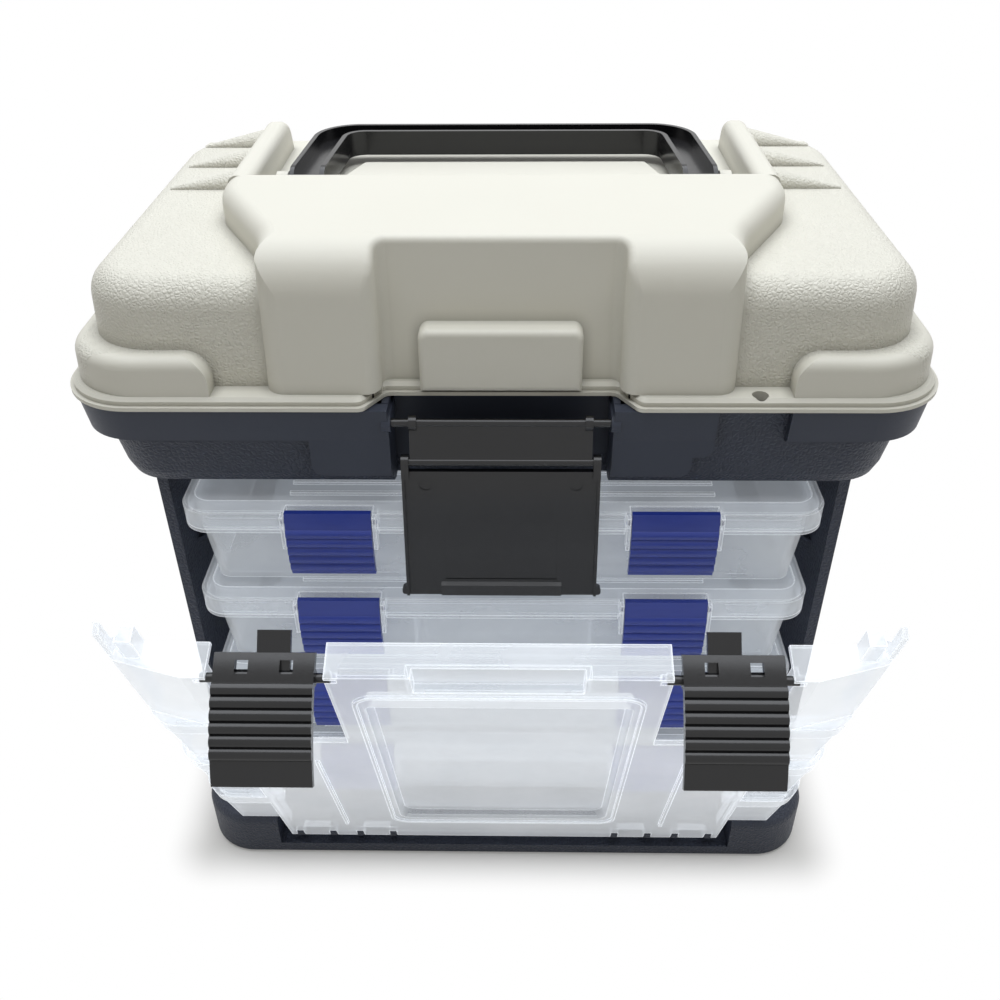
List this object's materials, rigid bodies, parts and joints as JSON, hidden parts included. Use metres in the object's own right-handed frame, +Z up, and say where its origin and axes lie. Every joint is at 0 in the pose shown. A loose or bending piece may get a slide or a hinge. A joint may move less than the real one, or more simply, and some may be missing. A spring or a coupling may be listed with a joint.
{
  "type": "fishing tackle cabinet",
  "caption": "Free-standing tackle cabinet: clear latched utility boxes slide on runners behind a tilting clear door, under a bulk bin with a hinged lid and folding carrying handle.",
  "frame": {"origin": "the middle of the base footprint on the ground", "axes": "+X to the right along the longest side, -Y out of the front, where the door is, +Z up"},
  "size_m": [0.349, 0.3264, 0.3255],
  "materials": {
    "ivory": "fine leather grain with smooth bands",
    "slate": "fine grain with smooth bands",
    "black": "satin",
    "blue": "satin",
    "clear": "clear, slightly hazy",
    "steel": "drawn rod"
  },
  "bodies": {
    "rack": {"base": "slate", "side_panel_left": "slate", "side_panel_right": "slate", "rear_panel": "slate", "bin": "slate", "lid_hinge_rod": "steel"},
    "lid": {"lid": "ivory", "handle_pivot_pins": "steel"},
    "handle": {"handle": "black"},
    "latch_link": {"latch_link": "black"},
    "latch_plate": {"latch_plate": "black"},
    "door": {"door": "clear"},
    "door_latch_left": {"door_latch_left": "black"},
    "door_latch_right": {"door_latch_right": "black"},
    "box_1": {"box_1_tray": "clear", "box_1_lid": "clear", "box_1_dividers": "clear"},
    "box_1_latch_left": {"box_1_latch_left": "blue"},
    "box_1_latch_right": {"box_1_latch_right": "blue"},
    "box_2": {"box_2_tray": "clear", "box_2_lid": "clear", "box_2_dividers": "clear"},
    "box_2_latch_left": {"box_2_latch_left": "blue"},
    "box_2_latch_right": {"box_2_latch_right": "blue"},
    "box_3": {"box_3_tray": "clear", "box_3_lid": "clear", "box_3_dividers": "clear"},
    "box_3_latch_left": {"box_3_latch_left": "blue"},
    "box_3_latch_right": {"box_3_latch_right": "blue"},
    "box_4": {"box_4_tray": "clear", "box_4_lid": "clear", "box_4_dividers": "clear"},
    "box_4_latch_left": {"box_4_latch_left": "blue"},
    "box_4_latch_right": {"box_4_latch_right": "blue"}
  },
  "joints": [
    {"name": "lid_hinge", "type": "hinge", "parent": "rack", "child": "lid", "pos_m": [0, 0.116, 0.2645], "axis": [-1, 0, 0], "range_deg": [0, 100]},
    {"name": "handle_pivot", "type": "hinge", "parent": "lid", "child": "handle", "pos_m": [0, 0.004, 0.318], "axis": [1, 0, 0], "range_deg": [0, 95]},
    {"name": "latch_link_pivot", "type": "hinge", "parent": "rack", "child": "latch_link", "pos_m": [0, -0.096, 0.256], "axis": [-1, 0, 0], "range_deg": [0, 90]},
    {"name": "latch_plate_pivot", "type": "hinge", "parent": "latch_link", "child": "latch_plate", "pos_m": [0, -0.10041, 0.24062], "axis": [-1, 0, 0], "range_deg": [0, 140]},
    {"name": "door_hinge", "type": "hinge", "parent": "rack", "child": "door", "pos_m": [0, -0.104, 0.016], "axis": [1, 0, 0], "range_deg": [-16, 68]},
    {"name": "door_latch_left_pivot", "type": "hinge", "parent": "door", "child": "door_latch_left", "pos_m": [-0.083, -0.18031, 0.20087], "axis": [-1, 0, 0], "range_deg": [-62, 20]},
    {"name": "door_latch_right_pivot", "type": "hinge", "parent": "door", "child": "door_latch_right", "pos_m": [0.083, -0.18031, 0.20087], "axis": [-1, 0, 0], "range_deg": [-62, 20]},
    {"name": "box_1_slide", "type": "slide", "parent": "rack", "child": "box_1", "axis": [0, -1, 0], "range_m": [0, 0.001]},
    {"name": "box_1_latch_left_pivot", "type": "hinge", "parent": "box_1", "child": "box_1_latch_left", "pos_m": [-0.0715, -0.1006, 0.2109], "axis": [-1, 0, 0], "range_deg": [0, 100]},
    {"name": "box_1_latch_right_pivot", "type": "hinge", "parent": "box_1", "child": "box_1_latch_right", "pos_m": [0.0715, -0.1006, 0.2109], "axis": [-1, 0, 0], "range_deg": [0, 100]},
    {"name": "box_2_slide", "type": "slide", "parent": "rack", "child": "box_2", "axis": [0, -1, 0], "range_m": [0, 0.038]},
    {"name": "box_2_latch_left_pivot", "type": "hinge", "parent": "box_2", "child": "box_2_latch_left", "pos_m": [-0.0715, -0.1006, 0.1639], "axis": [-1, 0, 0], "range_deg": [0, 100]},
    {"name": "box_2_latch_right_pivot", "type": "hinge", "parent": "box_2", "child": "box_2_latch_right", "pos_m": [0.0715, -0.1006, 0.1639], "axis": [-1, 0, 0], "range_deg": [0, 100]},
    {"name": "box_3_slide", "type": "slide", "parent": "rack", "child": "box_3", "axis": [0, -1, 0], "range_m": [0, 0.025]},
    {"name": "box_3_latch_left_pivot", "type": "hinge", "parent": "box_3", "child": "box_3_latch_left", "pos_m": [-0.0715, -0.1006, 0.1169], "axis": [-1, 0, 0], "range_deg": [0, 100]},
    {"name": "box_3_latch_right_pivot", "type": "hinge", "parent": "box_3", "child": "box_3_latch_right", "pos_m": [0.0715, -0.1006, 0.1169], "axis": [-1, 0, 0], "range_deg": [0, 100]},
    {"name": "box_4_slide", "type": "slide", "parent": "rack", "child": "box_4", "axis": [0, -1, 0], "range_m": [0, 0.008]},
    {"name": "box_4_latch_left_pivot", "type": "hinge", "parent": "box_4", "child": "box_4_latch_left", "pos_m": [-0.0715, -0.1006, 0.0699], "axis": [-1, 0, 0], "range_deg": [0, 22]},
    {"name": "box_4_latch_right_pivot", "type": "hinge", "parent": "box_4", "child": "box_4_latch_right", "pos_m": [0.0715, -0.1006, 0.0699], "axis": [-1, 0, 0], "range_deg": [0, 22]}
  ]
}
